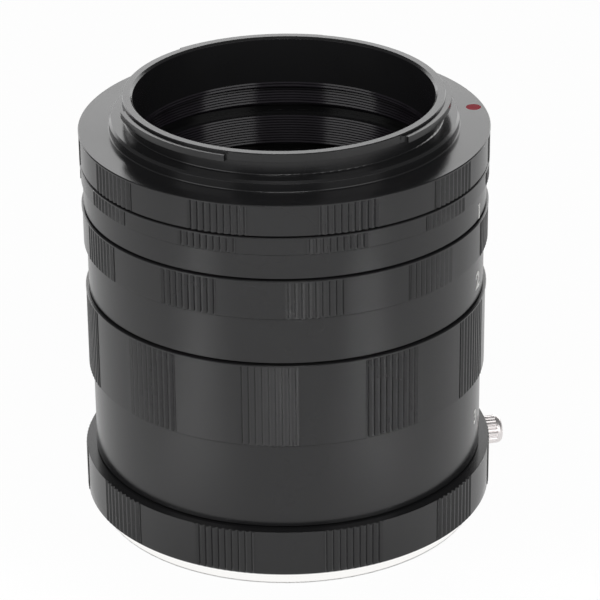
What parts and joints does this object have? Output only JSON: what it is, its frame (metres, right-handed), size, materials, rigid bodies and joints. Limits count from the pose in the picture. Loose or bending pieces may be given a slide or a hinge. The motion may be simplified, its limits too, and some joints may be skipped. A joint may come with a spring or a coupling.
{
  "type": "macro extension tube",
  "caption": "Macro extension tube set: numbered tubes screwed between a camera bayonet ring and a lens bayonet ring with a sprung release knob.",
  "frame": {"origin": "on the optical axis in the plane where a lens seats, at the underside of the bayonet plate", "axes": "+Z along the optical axis towards the camera, -Y to the front, +X to the right, with the release knob near +X"},
  "size_m": [0.0677, 0.0648, 0.0694],
  "materials": {
    "black_anodise": "satin black anodised",
    "chromed_brass": "fine turned bright chrome",
    "screw_steel": "bright nickel plated",
    "spring_steel": "drawn wire",
    "knob_metal": "bright plated with a straight knurl",
    "red_paint": "smooth paint fill",
    "white_paint": "white paint wiped into the numerals"
  },
  "bodies": {
    "lens_side": {"lens_ring": "black_anodise", "mount_plate": "chromed_brass", "mount_screws": "screw_steel", "stop_pin": "screw_steel", "lens_index_dot": "red_paint", "lock_spring": "spring_steel"},
    "release": {"lock_pin": "screw_steel", "release_knob": "knob_metal"},
    "tube_3": {"tube_3": "black_anodise"},
    "tube_2": {"tube_2": "black_anodise"},
    "tube_1": {"tube_1": "black_anodise"},
    "camera_side": {"camera_ring": "black_anodise", "index_dot": "red_paint"}
  },
  "joints": [
    {"name": "lens_release", "type": "slide", "parent": "lens_side", "child": "release", "axis": [0, 0, 1], "range_m": [-0.0014, 0.0002], "stiffness_N_per_m": 150, "springref_m": -0.0027, "deforming": ["lock_spring"]},
    {"name": "unscrew_tube_3", "type": "slide", "parent": "lens_side", "child": "tube_3", "axis": [0, 0, 1], "range_m": [0, 0.012]},
    {"name": "unscrew_tube_2", "type": "slide", "parent": "tube_3", "child": "tube_2", "axis": [0, 0, 1], "range_m": [0, 0.012]},
    {"name": "unscrew_tube_1", "type": "slide", "parent": "tube_2", "child": "tube_1", "axis": [0, 0, 1], "range_m": [0, 0.012]},
    {"name": "unscrew_camera_ring", "type": "slide", "parent": "tube_1", "child": "camera_side", "axis": [0, 0, 1], "range_m": [0, 0.012]}
  ]
}
